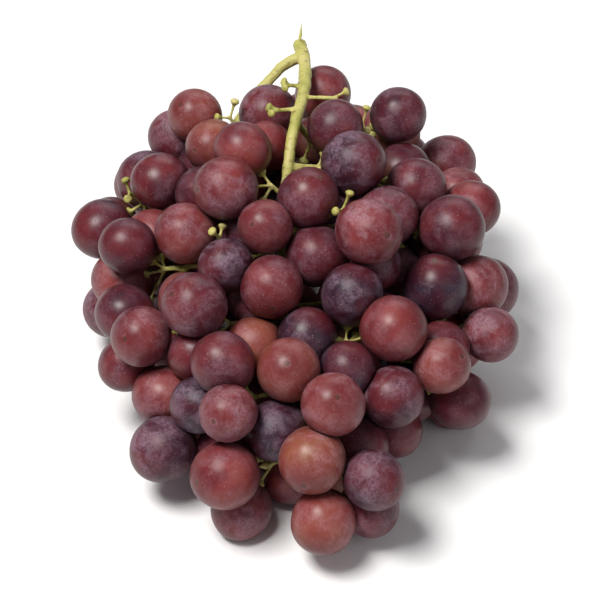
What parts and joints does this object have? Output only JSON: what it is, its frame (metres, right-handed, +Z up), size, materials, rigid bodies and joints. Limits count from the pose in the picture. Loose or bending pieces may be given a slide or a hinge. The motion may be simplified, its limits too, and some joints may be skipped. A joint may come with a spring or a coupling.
{
  "type": "bunch of grapes",
  "caption": "Bunch of red table grapes with a pale green branched stem, lying on its side with the stem end on top.",
  "frame": {"origin": "middle of the bunch's outline, on the surface that it lies on", "axes": "+Z up from the surface, +Y along the bunch towards the stem end, +X across it"},
  "size_m": [0.1578, 0.201, 0.09],
  "materials": {
    "berry_skin": "waxy dusty red skin",
    "stem_green": "fresh green stalk"
  },
  "bodies": {
    "root": {"berries_01": "berry_skin", "berries_02": "berry_skin", "berries_03": "berry_skin", "berries_04": "berry_skin", "berries_05": "berry_skin", "berries_06": "berry_skin", "berries_07": "berry_skin", "berries_08": "berry_skin", "berries_09": "berry_skin", "berries_10": "berry_skin", "berries_11": "berry_skin", "berries_12": "berry_skin", "berries_13": "berry_skin", "berries_14": "berry_skin", "berries_15": "berry_skin", "berries_16": "berry_skin", "berries_17": "berry_skin", "berries_18": "berry_skin", "berries_19": "berry_skin", "berries_20": "berry_skin", "berries_21": "berry_skin", "berries_22": "berry_skin", "berries_23": "berry_skin", "berries_24": "berry_skin", "berries_25": "berry_skin", "berries_26": "berry_skin", "berries_27": "berry_skin", "berries_28": "berry_skin", "berries_29": "berry_skin", "berries_30": "berry_skin", "berries_31": "berry_skin", "berries_32": "berry_skin", "berries_33": "berry_skin", "berries_34": "berry_skin", "berries_35": "berry_skin", "berries_36": "berry_skin", "berries_37": "berry_skin", "berries_38": "berry_skin", "berries_39": "berry_skin", "berries_40": "berry_skin", "berries_41": "berry_skin", "berries_42": "berry_skin", "berries_43": "berry_skin", "berries_44": "berry_skin", "berries_45": "berry_skin", "berries_46": "berry_skin", "berries_47": "berry_skin", "berries_48": "berry_skin", "berries_49": "berry_skin", "stem": "stem_green"}
  },
  "joints": []
}
